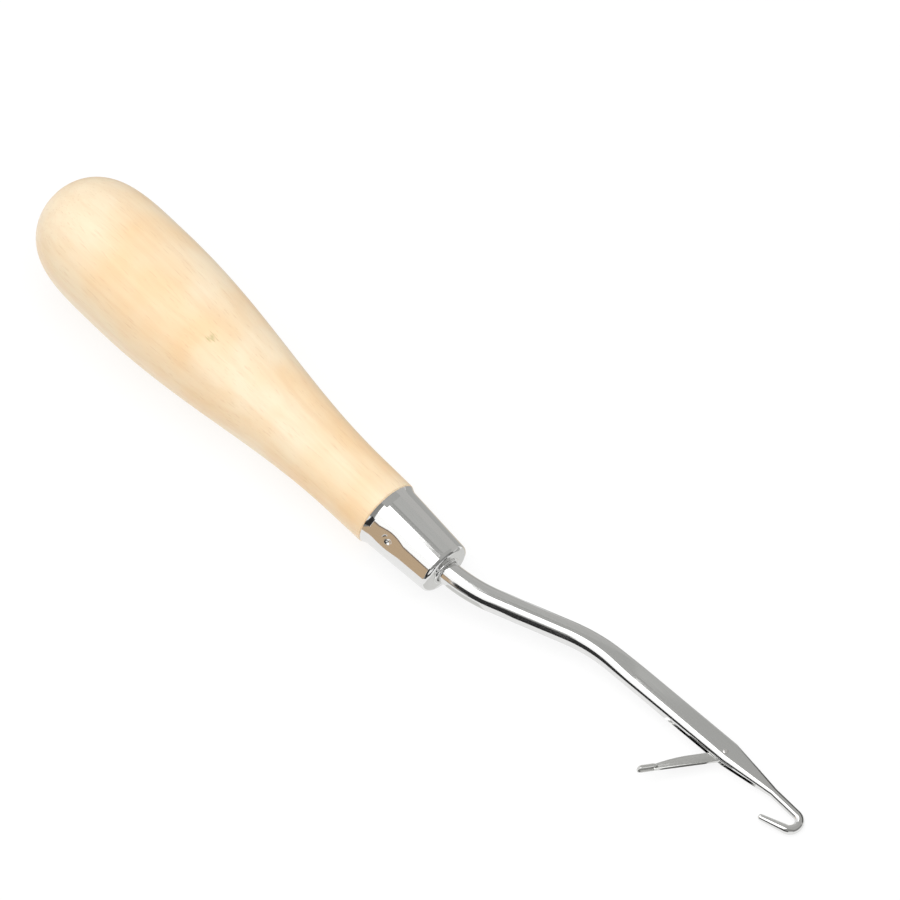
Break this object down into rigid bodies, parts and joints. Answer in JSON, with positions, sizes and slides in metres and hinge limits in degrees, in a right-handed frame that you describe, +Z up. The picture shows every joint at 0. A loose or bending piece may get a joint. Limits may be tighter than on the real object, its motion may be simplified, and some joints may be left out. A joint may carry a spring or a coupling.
{
  "type": "latch hook tool",
  "caption": "Latch hook for rug making: a turned wooden handle with a drawn metal ferrule, and a cranked steel shank whose slotted blade carries a swinging latch behind an open hook.",
  "frame": {"origin": "centre of the bounding box on the table, where the handle's swell and the hook's bend rest", "axes": "+X runs from the butt to the hook, +Y to the side that the shank is cranked to, away from the hook's opening, and +Z up from the table"},
  "size_m": [0.1643, 0.0232, 0.022],
  "materials": {
    "wood": "pale turned hardwood under a thin satin lacquer",
    "ferrule_chrome": "drawn sheet steel, bright plated",
    "shank_chrome": "bent and flattened steel wire, bright plated",
    "latch_steel": "stamped steel, tumbled and bright plated",
    "rivet_steel": "steel pin with both ends set and left bare"
  },
  "bodies": {
    "tool": {"handle": "wood", "ferrule": "ferrule_chrome", "shank": "shank_chrome", "latch_rivet": "rivet_steel"},
    "latch": {"latch": "latch_steel"}
  },
  "joints": [
    {"name": "latch_pivot", "type": "hinge", "parent": "tool", "child": "latch", "pos_m": [0.06434, 0.00921, 0.00201], "axis": [0.071, 0, 0.9975], "range_deg": [-42, 104]}
  ]
}
